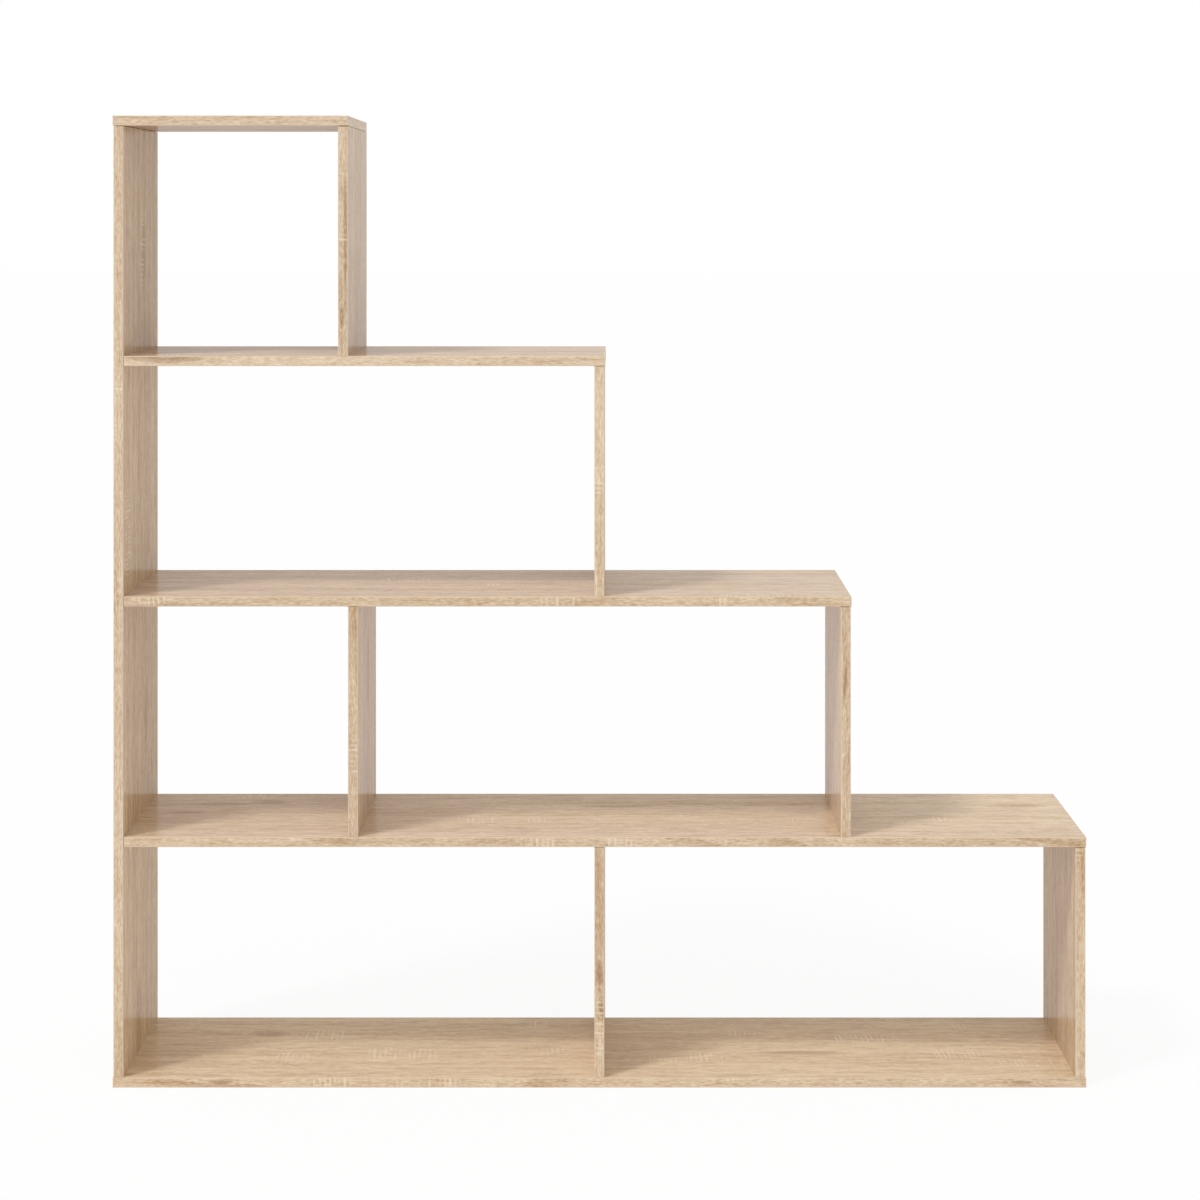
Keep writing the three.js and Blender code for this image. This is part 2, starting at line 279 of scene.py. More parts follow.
# %% Deal out the sheet
step_along, step_across = 3.1, 1.7  # from one board's start on the sheet to the next one's
sheet_places = {name: (step_along * number, step_across * number)
                for number, name in enumerate(sorted(board_names))}
# The film's tone and pinkness hold painted shade and light besides each board's own difference.
tones_and_painted_shade = {  # film, bands, and how pink the film is
    "base_board": (0.26, 0.02, 0.0),
    "lower_shelf": (0.19, 0.0, 0.5),
    "middle_shelf": (0.0, -0.04, 0.9),
    "upper_shelf": (-0.17, 0.14, 1.0),
    "top_board": (-0.36, -0.02, 0.8),
    "left_side": (-0.03, 0.03, 0.0),
    "bottom_tier_side": (-0.14, 0.0, 0.5),
    "bottom_tier_divider": (0.0, 0.0, 0.5),
    "third_tier_side": (-0.05, -0.05, 1.0),
    "third_tier_divider": (-0.13, -0.12, 0.9),
    "second_tier_side": (0.0, 0.17, 0.6),
    "top_tier_side": (-0.2, -0.05, 0.9),
}
band_blush = 0.35
band_slants = {"third_tier_divider": 0.09, "third_tier_side": -0.06, "bottom_tier_side": 0.03}


def lay_film(mesh, board, grain_axis, cross_axis, band=False, turn_over=0.0):
    """Places each corner on the sheet, in metres, and gives the mesh its tone and pinkness, partly
    painted shade.
    """
    along, across = sheet_places[board]
    slant = band_slants.get(board, 0.0) if band else 0.0
    middle = sum(corner[grain_axis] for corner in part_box(board)) / 2
    layer = mesh.uv_layers.new(name="sheet")
    for face in mesh.polygons:
        flip = turn_over if face.normal[3 - grain_axis - cross_axis] < 0 else 0.0
        for corner in face.loop_indices:
            place = mesh.vertices[mesh.loops[corner].vertex_index].co
            u, v = place[grain_axis], place[cross_axis]
            layer.uv[corner].vector = (along + u, across + v + slant * (u - middle) + flip)
    # tone and pinkness, partly painted shade and sheen, go onto every point of the mesh
    values = {"tone": tones_and_painted_shade[board][band], "blush": band_blush if band else tones_and_painted_shade[board][2]}
    for title, value in values.items():
        layer = mesh.attributes.new(title, "FLOAT", "POINT")
        layer.data.foreach_set("value", [value] * len(mesh.vertices))


print(len(sheet_places), "places on the sheet")

# %% [markdown]
# ## The decor
#
# The film's print is pale oak with the marks of a coarse saw. A photograph of wood would need an
# image file and would repeat, so nodes draw the print on the sheet's own coordinates, built up as
# the wood was. A first group bends the sheet's lines, so that the grain wanders. Then come the year
# rings, which part round the knots, the stripes and fibres between them, and last the saw marks,
# which run across the grain because the blade did.

# %% Start a node group
def start_group(name, inputs, outputs):
    """Makes a node group and returns it with what it is given and the node for its results."""
    kinds = {float: "Float", 3: "Vector", 4: "Color"}
    tree = bpy.data.node_groups.new(name, "ShaderNodeTree")
    for title, value in inputs.items():
        kind = kinds[float if isinstance(value, float) else len(value)]
        socket = tree.interface.new_socket(title, in_out="INPUT", socket_type="NodeSocket" + kind)
        socket.default_value = value
    for title, kind in outputs.items():
        tree.interface.new_socket(title, in_out="OUTPUT", socket_type="NodeSocket" + kind)
    given = tree.nodes.new("NodeGroupInput").outputs
    return tree, given, tree.nodes.new("NodeGroupOutput")


def use_group(tree, group, inputs):
    return add(tree, "Group", inputs, node_tree=group).outputs


def noise(tree, vector, along, across, detail=2.0, roughness=0.5, seed=0.0):
    """Noise stretched along the grain. along and across are how many bumps a metre holds."""
    stretched = vectors(tree, "MULTIPLY", vector, (along, across, 1.0))
    moved = vectors(tree, "ADD", stretched, (0.0, 0.0, seed))
    inputs = {"Vector": moved, "Scale": 1.0, "Detail": detail, "Roughness": roughness}
    return add(tree, "TexNoise", inputs).outputs[0]


def cloud(tree, place, scale, detail=2.0):
    """Noise that is the same every way."""
    return add(tree, "TexNoise", {"Vector": place, "Scale": scale, "Detail": detail}).outputs[0]


def chance_spots(tree, sheet, length, width, share, seed):
    """1 at the middle of spots strewn over the sheet, 0 at their rims. share says how many."""
    cells = vectors(tree, "MULTIPLY", sheet, (1 / length, 1 / width, 1.0))
    cells = vectors(tree, "ADD", cells, (seed, seed, 0.0))
    cell = add(tree, "TexVoronoi", {"Vector": cells, "Scale": 1.0, "Randomness": 0.9},
               voronoi_dimensions="2D").outputs
    draw = add(tree, "SeparateXYZ", {0: cell["Color"]}).outputs[0]
    chosen = maths(tree, "LESS_THAN", draw, share)
    return times(tree, between(tree, cell["Distance"], 0.32, 0.0), chosen)


print("Groups so far:", len(bpy.data.node_groups))

# %% Bend the grain
bent_grain, given, result = start_group(
    "bent_grain",
    {"Sheet": (0.0, 0.0, 0.0), "Meander": 0.014, "Wobble": 0.0016},
    {"Grain": "Vector"},
)
tree = bent_grain
wander = maths(tree, "SUBTRACT", noise(tree, given["Sheet"], 0.9, 4.5, 1.0), 0.5)
wobble = maths(tree, "SUBTRACT", noise(tree, given["Sheet"], 17.0, 26.0, seed=3.0), 0.5)
shift = maths(tree, "ADD", times(tree, wander, given["Meander"]), times(tree, wobble, given["Wobble"]))
offset = add(tree, "CombineXYZ", {1: shift}).outputs[0]
feed(tree, result, {"Grain": vectors(tree, "ADD", given["Sheet"], offset)})
print("bent_grain:", len(tree.nodes), "nodes")

# %% Grow the year rings
year_rings, given, result = start_group(
    "year_rings",
    {"Grain": (0.0, 0.0, 0.0), "Knot": 0.0, "Rings": 8.0},
    {"Late wood": "Float", "Stripes": "Float", "Blush": "Float"},
)
tree = year_rings
field = noise(tree, given["Grain"], 0.8, 6.0, 1.0, seed=11.0)
field = times_plus(tree, field, given["Rings"], times(tree, given["Knot"], 2.6))
turn = maths(tree, "FRACT", field)
late = times(tree, between(tree, turn, 0.3, 0.92), between(tree, turn, 1.0, 0.94))
where = between(tree, noise(tree, given["Grain"], 2.2, 9.0, 1.0, seed=13.0), 0.42, 0.62)
where = maths(tree, "MAXIMUM", where, between(tree, given["Knot"], 0.0, 0.3))
feed(tree, result, {
    "Late wood": times(tree, late, where),
    "Stripes": noise(tree, given["Grain"], 1.1, 36.0, seed=17.0),
    "Blush": between(tree, noise(tree, given["Grain"], 0.6, 30.0, 1.0, seed=19.0), 0.15, 0.85),
})
print("year_rings:", len(tree.nodes), "nodes")

# %% Draw fibres, strokes and pores
fibres, given, result = start_group(
    "fibres",
    {"Grain": (0.0, 0.0, 0.0)},
    {name: "Float" for name in ("Streaks", "Mottle", "Strokes", "Flecks", "Pores")},
)
tree = fibres
grain = given["Grain"]
feed(tree, result, {
    "Streaks": noise(tree, grain, 16.0, 105.0, 3.0, 0.6, seed=23.0),
    "Mottle": noise(tree, grain, 62.0, 105.0, 2.0, 0.6, seed=25.0),
    "Strokes": noise(tree, grain, 46.0, 330.0, 2.0, 0.55, seed=27.0),
    "Flecks": noise(tree, grain, 110.0, 480.0, 1.0, seed=28.0),
    "Pores": between(tree, noise(tree, grain, 80.0, 1300.0, 1.0, seed=29.0), 0.62, 0.74),
})
print("fibres:", len(tree.nodes), "nodes")

# %% Leave the marks of the saw
saw_marks, given, result = start_group(
    "saw_marks",
    {"Sheet": (0.0, 0.0, 0.0), "Clusters": 0.0, "Pitch": 0.0078, "Lean": 0.04},
    {"Marks": "Float"},
)
tree = saw_marks
split = add(tree, "SeparateXYZ", {0: given["Sheet"]}).outputs
leaning = times_plus(tree, split[1], given["Lean"], split[0])
uneven = maths(tree, "SUBTRACT", noise(tree, given["Sheet"], 28.0, 14.0, 1.0, seed=41.0), 0.5)
leaning = times_plus(tree, uneven, 0.009, leaning)
teeth = maths(tree, "FRACT", maths(tree, "DIVIDE", leaning, given["Pitch"]))
teeth = maths(tree, "ABSOLUTE", maths(tree, "SUBTRACT", teeth, 0.5))
strokes = between(tree, teeth, 0.26, 0.1)
bite = between(tree, noise(tree, given["Sheet"], 60.0, 16.0, 1.0, seed=43.0), 0.4, 0.58)
strokes = times(tree, strokes, bite)
marks = times(tree, strokes, between(tree, given["Clusters"], 0.0, 0.35))
fine = between(tree, noise(tree, given["Sheet"], 380.0, 120.0, 1.0, seed=47.0), 0.58, 0.74)
feed(tree, result, {"Marks": times_plus(tree, fine, 0.22, marks)})
print("saw_marks:", len(tree.nodes), "nodes")

# %% List what a film can vary
oak_film, given, result = start_group(
    "oak_film",
    {
        "Sheet": (0.0, 0.0, 0.0),
        "Tone": 0.0,
        "Knots": 0.0,
        "Clusters": 0.0,
        "Pale": paint(233, 211, 178),
        "Dark": paint(188, 156, 121),
        "Blush": paint(211, 188, 170),
        "Knot wood": paint(166, 124, 90),
        "Lime": paint(240, 225, 200),
        "Stripe contrast": 0.8,
        "Streak contrast": 1.4,
        "Mottle contrast": 0.5,
        "Stroke contrast": 0.9,
        "Fleck contrast": 0.85,
        "Ring contrast": 0.16,
        "Rings": 8.0,
        "Blush share": 0.5,
    },
    {"Color": "Color", "Roughness": "Float", "Height": "Float"},
)
print("A film can vary in", [socket.name for socket in given if socket.name])

# %% Print the whole film
tree = oak_film
bent = use_group(tree, bent_grain, {"Sheet": given["Sheet"]})
grain = bent["Grain"]
ringed = use_group(tree, year_rings, {"Grain": grain, "Knot": given["Knots"], "Rings": given["Rings"]})
fibrous = use_group(tree, fibres, {"Grain": grain})
sawn = use_group(tree, saw_marks, {"Sheet": given["Sheet"], "Clusters": given["Clusters"]})

# The board's tone, partly painted shade and light, shifts the film between Dark and Pale.
tone = maths(tree, "ADD", given["Tone"], 0.5)
for contrast, source in {
    "Stripe contrast": ringed["Stripes"],
    "Streak contrast": fibrous["Streaks"],
    "Mottle contrast": fibrous["Mottle"],
    "Stroke contrast": fibrous["Strokes"],
    "Fleck contrast": fibrous["Flecks"],
}.items():
    swing = maths(tree, "SUBTRACT", source, 0.5)
    tone = times_plus(tree, swing, given[contrast], tone)
ring_shade = times(tree, ringed["Late wood"], given["Ring contrast"])
tone = add(tree, "Clamp", {"Value": maths(tree, "SUBTRACT", tone, ring_shade)}).outputs[0]
wood = mix_colours(tree, tone, given["Dark"], given["Pale"])
pinker = mix_colours(tree, 1.0, wood, given["Blush"], blend_type="COLOR")
wood = mix_colours(tree, times(tree, ringed["Blush"], given["Blush share"]), wood, pinker)
heart = between(tree, given["Knots"], 0.1, 0.8)
heart = times(tree, heart, between(tree, fibrous["Mottle"], 0.2, 0.5))
wood = mix_colours(tree, times(tree, heart, 0.48), wood, given["Knot wood"])
wood = mix_colours(tree, times(tree, fibrous["Pores"], 0.3), wood, given["Dark"])
wood = mix_colours(tree, times(tree, sawn["Marks"], 0.52), wood, given["Lime"])
height = times_plus(tree, fibrous["Pores"], -1.0, times(tree, sawn["Marks"], 0.4))
rough = times_plus(tree, fibrous["Pores"], 0.12, 0.4)
rough = times_plus(tree, fibrous["Streaks"], 0.1, rough)
feed(tree, result, {"Color": wood, "Roughness": rough, "Height": height})
print("oak_film:", len(tree.nodes), "nodes")

# %% [markdown]
# ## The finishes
#
# A material asks the film for its colour at the sheet's coordinates and hands the result to one
# shader. The pores are a little sunk, so the film's height goes through a bump node. The edge
# bands are strips of plastic with the same print, but with stronger rings and flecks, fainter
# streaks and less pink.
#
# Over the print lies clear resin, as a thin coat. From straight on it is hardly seen, but at a
# glancing look it mirrors the white room, which is why the photograph's upper shelves look greyer
# than the base board. A shader with one glossy layer has the same tendency, but its haze also
# covers the boards that are seen from above, so that layer is turned off.
#
# Knots and saw marks are what the eye finds first. Chance strews some over the sheet, and the ones
# that the photograph shows are listed, as places on their boards.

# %% Choose where the film's knots and saw marks lie
film_knots = {  # on each board: place along and across the grain, half length and half width, in mm
    "base_board": [(-519, 61, 50, 26), (300, -30, 110, 14)],
    "lower_shelf": [(-640, 15, 50, 14), (-600, 72, 80, 16), (-520, 85, 50, 26), (25, 55, 90, 14),
                    (655, 60, 70, 20)],
    "left_side": [(520, 40, 80, 22), (1240, 20, 110, 20)],
    "bottom_tier_side": [(270, -70, 80, 24)],
}
film_clusters = {
    "base_board": [(-337, -36, 42, 46), (-267, -45, 40, 36), (-470, -50, 36, 28), (-60, -31, 45, 36),
                   (-430, 55, 60, 32), (-94, 106, 26, 34), (538, -36, 70, 28), (555, 95, 38, 24),
                   (222, 66, 40, 20)],
    "lower_shelf": [(-188, -36, 50, 30), (-99, -38, 34, 18), (5, -29, 26, 16), (291, -33, 22, 18),
                    (526, -31, 30, 18)],
    "middle_shelf": [(-300, 40, 60, 24), (-150, -20, 55, 16)],
    "left_side": [(820, -110, 90, 30)],
}


def count(places):
    return sum(len(spots) for spots in places.values())


print("On the films:", count(film_knots), "knots and", count(film_clusters), "clusters of saw marks")

# %% Choose where those of the bands lie
band_knots = {
    "bottom_tier_divider": [(172, 0, 34, 9), (118, 3, 22, 8)],
    "base_board": [(-565, 8, 26, 6), (630, 8, 30, 5)],
    "top_tier_side": [(1150, -384, 30, 6), (1262, -379, 170, 4)],
    "third_tier_side": [(608, 363, 60, 4)],
}
band_clusters = {
    "base_board": [(-400, 8, 40, 14), (-250, 8, 60, 14)],
    "top_tier_side": [(1356, -382, 16, 14), (1268, -382, 14, 14)],
    "bottom_tier_divider": [(90, 0, 60, 14)],
    "third_tier_divider": [(480, -367, 60, 14)],
    "left_side": [(1050, -718, 30, 14)],
}


def chosen_spots(tree, sheet, places):
    """1 at the middle of each place, fading to 0 at its rim."""
    total = None
    for board, spots in places.items():
        start = sheet_places[board]
        for along, across, half_length, half_width in spots:
            middle = (start[0] + along * MM, start[1] + across * MM, 0.0)
            away = vectors(tree, "SUBTRACT", sheet, middle)
            away = vectors(tree, "MULTIPLY", away, (1 / (half_length * MM), 1 / (half_width * MM), 0.0))
            distance = add(tree, "VectorMath", {0: away}, operation="LENGTH").outputs["Value"]
            near = between(tree, distance, 1.0, 0.0)
            total = near if total is None else maths(tree, "MAXIMUM", total, near)
    return total


print("On the bands:", count(band_knots), "knots and", count(band_clusters), "clusters of saw marks")

# %% Start a material and hand the drawing to its shader
def new_material(name):
    material = bpy.data.materials.new(name)
    material.use_nodes = True
    tree = material.node_tree
    tree.nodes.clear()
    shader = add(tree, "BsdfPrincipled")
    add(tree, "OutputMaterial", {"Surface": shader.outputs[0]})
    return material, tree, shader


def dress(tree, shader, colour, roughness, height=None, relief=0.0):
    """Hands what was drawn to the material's shader, with the height as bumps."""
    feed(tree, shader, {"Base Color": colour, "Roughness": roughness})
    if height is not None:
        bump = add(tree, "Bump", {"Height": height, "Distance": relief, "Strength": 1.0})
        tree.links.new(bump.outputs[0], shader.inputs["Normal"])


clear_resin = {"Specular IOR Level": 0.0, "Coat Weight": 0.42, "Coat Roughness": 0.18, "Coat IOR": 1.25}
print("The clear resin:", clear_resin)


# %% Make the board materials
def oak_material(name, relief, knots, clusters, strewn_knots, strewn_clusters, **film):
    """The film as a material. What is strewn is given as cell length, cell width and share."""
    material, tree, shader = new_material(name)
    sheet = add(tree, "UVMap", uv_map="sheet").outputs[0]
    printed = use_group(tree, oak_film, {
        "Sheet": sheet,
        # each board's tone and pinkness, partly painted shade and sheen
        "Tone": add(tree, "Attribute", attribute_name="tone").outputs["Fac"],
        "Blush share": add(tree, "Attribute", attribute_name="blush").outputs["Fac"],
        "Knots": maths(tree, "MAXIMUM", chance_spots(tree, sheet, *strewn_knots, 2.5),
                       chosen_spots(tree, sheet, knots)),
        "Clusters": maths(tree, "MAXIMUM", chance_spots(tree, sheet, *strewn_clusters, 7.5),
                          chosen_spots(tree, sheet, clusters)),
        **film,
    })
    dress(tree, shader, printed["Color"], printed["Roughness"], printed["Height"], relief)
    feed(tree, shader, clear_resin)
    return material


board_film = oak_material(
    "board_film", 0.06 * MM, film_knots, film_clusters, (0.34, 0.11, 0.06), (0.26, 0.09, 0.05),
)
band_strip = oak_material(
    "band_strip", 0.05 * MM, band_knots, band_clusters, (0.3, 0.05, 0.1), (0.12, 0.05, 0.22),
    Pale=paint(238, 221, 194), Dark=paint(178, 143, 103), Rings=13.0,
    **{"Stripe contrast": 0.3, "Streak contrast": 0.75, "Mottle contrast": 0.1, "Stroke contrast": 0.65,
       "Fleck contrast": 1.1, "Ring contrast": 0.26, "Knot wood": paint(138, 101, 68)},
)
print("Board materials:", board_film.name, band_strip.name)

# %% [markdown]
# Where a trimmer has rounded the band, the print is gone and a paler colour shows, a little uneven
# from the cutter: partly the plastic's own colour, partly a painted highlight that brightens the
# rounded edges. Inside the drilled holes the chipboard itself shows: pressed grains of many shades.

# %% Make the pale plastic, with its painted highlight, and the chipboard
pale_plastic_and_painted_highlight, tree, shader = new_material("pale_plastic_and_painted_highlight")
place = add(tree, "TexCoord").outputs["Object"]
ripple = cloud(tree, place, 900.0)
# paler than the film: partly the plastic's own colour, partly a painted highlight
tint = mix_colours(tree, cloud(tree, place, 35.0, 3.0), paint(214, 189, 158), paint(230, 208, 180))
dress(tree, shader, tint, times_plus(tree, ripple, 0.16, 0.3), ripple, 0.02 * MM)
shader.inputs["Specular IOR Level"].default_value = 0.3

chipboard, tree, shader = new_material("chipboard")
place = add(tree, "TexCoord").outputs["Object"]
grains = add(tree, "TexVoronoi", {"Vector": place, "Scale": 420.0}).outputs["Color"]
shade = add(tree, "SeparateXYZ", {0: grains}).outputs[0]
chip = mix_colours(tree, shade, paint(150, 118, 82), paint(208, 176, 132))
dress(tree, shader, chip, times_plus(tree, shade, 0.1, 0.85))
print("Materials:", [material.name for material in bpy.data.materials])

# %% [markdown]
# ## Shapes turned on a lathe
#
# Screws, bolts, cams and dowels are all round, and so are their holes. One helper makes them: it
# takes a profile, a list of radius and height along the axis, and turns it. Where a ring isn't
# quite round, such as a hexagon socket, a thread or a flute, the radius is a function of the angle
# instead of a number. That keeps each fitting one closed skin, where adding separate pieces
# together would leave seams.

# %% Turn round things on a lathe
def mesh_from(shape, name):
    mesh = bpy.data.meshes.new(name)
    shape.to_mesh(mesh)
    shape.free()
    return mesh


def turned(name, profile, sides):
    """A closed mesh: a profile of (radius, height) pairs, turned about Z and closed on the axis."""
    shape = bmesh.new()
    start = [(0, profile[0][1])] if profile[0][0] else []
    end = [(0, profile[-1][1])] if profile[-1][0] else []
    angles = [2 * math.pi * side / sides for side in range(sides)]
    rings = []
    for radius, height in [*start, *profile, *end]:
        if radius == 0:
            rings.append([shape.verts.new((0, 0, height))])
            continue
        reach = [radius(a) if callable(radius) else radius for a in angles]
        rings.append([shape.verts.new((r * math.cos(a), r * math.sin(a), height))
                      for a, r in zip(angles, reach)])
    for lower, upper in zip(rings, rings[1:]):
        for side in range(sides):
            after = (side + 1) % sides
            corners = [lower[side % len(lower)], lower[after % len(lower)],
                       upper[after % len(upper)], upper[side % len(upper)]]
            shape.faces.new(list(dict.fromkeys(corners)))
    bmesh.ops.recalc_face_normals(shape, faces=shape.faces)
    return mesh_from(shape, name)


def plug(name, radius, bottom, top, sides):
    """A plain round plug from one height to another."""
    return turned(name, [(radius, bottom), (radius, top)], sides)


def give_finish(mesh, *materials, angle=30):
    """Gives a mesh its materials and shades it smooth, but for edges sharper than the angle."""
    for material in materials:
        mesh.materials.append(material)
    for face in mesh.polygons:
        face.use_smooth = True
    mesh.set_sharp_from_angle(angle=math.radians(angle))


print("A lathe for screws, bolts, cams, dowels and holes")

# %% Shape the cutters
board_thickness = left_high.x - left_low.x
clearance = 0.3 * MM
past_face = 1.0 * MM
hole_sides = 32
cam_sides = 48
screw_length = 50.0 * MM
screw_head_radius = 4.75 * MM
screw_head_height = 3.5 * MM
screw_shoulder_radius = 3.4 * MM
screw_core_radius = 2.4 * MM
cam_radius = 7.2 * MM
cam_distance = 34.0 * MM
bolt_bore_radius = 4.0 * MM
bolt_hole_radius = 3.3 * MM
bolt_hole_depth = 11.3 * MM
dowel_radius = 4.0 * MM
dowel_length = 30.0 * MM

screw_cutter = turned("screw_cutter", [
    (screw_head_radius + clearance, -past_face),
    (screw_head_radius + clearance, 0),
    (screw_shoulder_radius + clearance, screw_head_height),
    (screw_shoulder_radius + clearance, board_thickness),
    (screw_core_radius + clearance, board_thickness),
    (screw_core_radius + clearance, screw_length + clearance),
], hole_sides)
cam_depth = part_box("cam_left_side_front")[1].x - left_low.x
cam_cutter = plug("cam_cutter", cam_radius + clearance, -cam_depth - clearance, past_face, cam_sides)
bolt_cutter = turned("bolt_cutter", [
    (bolt_bore_radius, -cam_distance),
    (bolt_bore_radius, 0),
    (bolt_hole_radius, 0),
    (bolt_hole_radius, bolt_hole_depth),
], hole_sides)
dowel_hole = (dowel_radius + clearance, -clearance, dowel_length + clearance)
dowel_cutter = plug("dowel_cutter", *dowel_hole, hole_sides)
print("Cam depth", round(cam_depth / MM, 2), "mm")

# %% Find where each fitting sits and which way it points
def seat_of(name):
    """A fitting's own place: its origin and its own +Z, as a matrix, worked out from its CAD box."""
    low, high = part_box(name)
    middle = (low + high) / 2
    upright = name.removeprefix("cam_").removeprefix("bolt_").rsplit("_", 1)[0]
    if name.startswith("cam_bolt"):
        return Matrix.Translation((middle.x, middle.y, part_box(upright)[1].z))
    if name.startswith("cam"):
        side_low, side_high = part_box(upright)
        faces_right = middle.x > (side_low.x + side_high.x) / 2
        face = side_high.x if faces_right else side_low.x
        turn = Matrix.Rotation(math.pi / 2 if faces_right else -math.pi / 2, 4, "Y")
        return Matrix.Translation((face, middle.y, middle.z)) @ turn
    if "_end_" in name:
        return Matrix.Translation((low.x, middle.y, middle.z)) @ Matrix.Rotation(math.pi / 2, 4, "Y")
    return Matrix.Translation((middle.x, middle.y, low.z))


cutters = {"screw": screw_cutter, "cam": cam_cutter, "bolt": bolt_cutter, "dowel": dowel_cutter}


def family_of(name):
    return "bolt" if name.startswith("cam_bolt") else name.split("_")[0]


print({family: sum(family_of(n) == family for n in fitting_names) for family in cutters})

# %% [markdown]
# ## The boards
#
# Each board is a sawn panel with film on both faces, and a band on every edge that shows. It is
# simpler to drill the panel as a workshop does than to draw it with its holes: a plain panel, minus
# the shape of each fitting's hole. The upper end of an upright stops a hair short of the board
# above, since sawn chipboard is never dead straight, and the photograph shows that joint as a thin
# dark line.

# %% Tell which edges and holes a board has
hair = 0.01 * MM  # less than this counts as nothing


def touches(first, second):
    """Whether the CAD boxes of two nodes share some space."""
    (low_a, high_a), (low_b, high_b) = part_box(first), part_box(second)
    return all(low_a[i] < high_b[i] - hair and low_b[i] < high_a[i] - hair for i in range(3))


def banded_edges(name):
    """The sides of a board that carry a band, as (axis, direction)."""
    sides = [(1, -1), (1, 1)]
    if thin_axis(name) == 2:
        sides.append((0, 1))
        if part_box(name)[0].x < left_high.x - board_thickness / 2:
            sides.append((0, -1))
    return sides


print("Edges to band:", sum(len(banded_edges(name)) for name in board_names))


# %% Cut holes and add pieces
def box_shape(low, high):
    shape = bmesh.new()
    bmesh.ops.create_cube(shape, size=1.0)
    for vertex in shape.verts:
        vertex.co = Vector([low[i] if vertex.co[i] < 0 else high[i] for i in range(3)])
    return shape


def cut_away(mesh, tools):
    """Takes each tool, a mesh with its matrix, out of a mesh and returns what is left."""
    blank = place_object("blank", mesh)
    placed = []
    for tool_mesh, matrix in tools:
        tool = place_object("tool", tool_mesh)
        tool.matrix_world = matrix
        cut = blank.modifiers.new("hole", "BOOLEAN")
        cut.operation = "DIFFERENCE"
        cut.solver = "EXACT"
        cut.object = tool
        placed.append(tool)
    bpy.context.view_layer.update()
    depsgraph = bpy.context.evaluated_depsgraph_get()
    finished = bpy.data.meshes.new_from_object(blank.evaluated_get(depsgraph))
    finished.materials.clear()
    for thing in [blank, *placed]:
        bpy.data.objects.remove(thing)
    return finished


def add_piece(name, mesh, slot, matrix=None):
    piece = place_object(name, mesh)
    if matrix is not None:
        piece.matrix_world = matrix
    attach(piece, "root")
    return piece


print("Holes to drill:", sum(touches(f, name) for f in fitting_names for name in board_names))

# %% Saw and drill the panels
band_thickness = 2.0 * MM
panel_seam = 0.7 * MM
sheet_turned_over = 0.9

for name in board_names:
    low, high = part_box(name)
    for axis, way in banded_edges(name):
        (high if way > 0 else low)[axis] -= way * band_thickness
    if thin_axis(name) == 0:
        high.z -= panel_seam
    holes = [(cutters[family_of(f)], seat_of(f)) for f in fitting_names if touches(f, name)]
    mesh = cut_away(mesh_from(box_shape(low, high), "blank"), holes)
    mesh.name = name + "_panel"
    mesh.materials.append(board_film)
    mesh.materials.append(chipboard)
    axis = thin_axis(name)
    for face in mesh.polygons:
        depth = face.center[axis]
        under_surface = min(abs(depth - low[axis]), abs(depth - high[axis]))
        on_film = abs(face.normal[axis]) > 0.99 and under_surface < hair
        face.material_index = 0 if on_film else 1
    lay_film(mesh, name, 2 - axis, 1, turn_over=sheet_turned_over)
    panel = add_piece(name + "_panel", mesh, "oak_decor_board")
    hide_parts(name)

# %% [markdown]
# ## The edge bands
#
# A band is a strip of plastic, two millimetres thick, glued to the panel's edge and trimmed flush.
# The trimmer rounds its outer corners, which catch the light as the thin bright line that makes the
# edges look crisp, and the pale plastic on them adds a painted highlight to that line. So each strip
# is its own piece with its corners really rounded.
# The strips at the ends are glued last and cover the ends of the long ones. Where a strip butts
# against the board above, or a shelf's against the left side, it is eased and stops a little
# short. That groove is the dark line in the photograph, and it differs from joint to joint.

# %% Shape a strip
band_radius = 1.1 * MM
band_rounding_steps = 4
band_easing = 0.6 * MM
usual_seam = 0.5 * MM
wider_seams = {
    "top_tier_side": 1.3 * MM,
    "left_side": 0.9 * MM,
    "third_tier_side": 0.8 * MM,
    "bottom_tier_side": 0.8 * MM,
}


def rounded_strip(name, low, high, axis, way, eased):
    """A strip with its free edges rounded. eased says which of its two ends get a small chamfer."""
    shape = box_shape(low, high)
    inner = low[axis] if way > 0 else high[axis]
    length_axis = max((i for i in range(3) if i != axis), key=lambda i: high[i] - low[i])

    def outside(vertex):
        return abs(vertex.co[axis] - inner) > hair

    def runs_along(edge):
        first, second = edge.verts
        return abs(first.co[length_axis] - second.co[length_axis]) > hair

    rounded = [edge for edge in shape.edges if all(outside(vertex) for vertex in edge.verts)
               and (axis == 0 or runs_along(edge))]
    trimmed = bmesh.ops.bevel(shape, geom=rounded, offset=band_radius, segments=band_rounding_steps,
                              profile=0.5, affect="EDGES")["faces"]
    # the rounded faces take the pale plastic: partly its own colour, partly a painted highlight
    for face in trimmed:
        face.material_index = 1
    for end in eased:
        plane = low[length_axis] if end < 0 else high[length_axis]
        rim = [edge for edge in shape.edges if any(outside(vertex) for vertex in edge.verts)
               and all(abs(vertex.co[length_axis] - plane) < hair for vertex in edge.verts)]
        bmesh.ops.bevel(shape, geom=rim, offset=band_easing, segments=1, affect="EDGES")
    return mesh_from(shape, name), length_axis


print("Bands are rounded to", band_radius / MM, "mm")

# %% Glue on the bands
side_words = {(1, -1): "front", (1, 1): "back", (0, 1): "right", (0, -1): "left"}

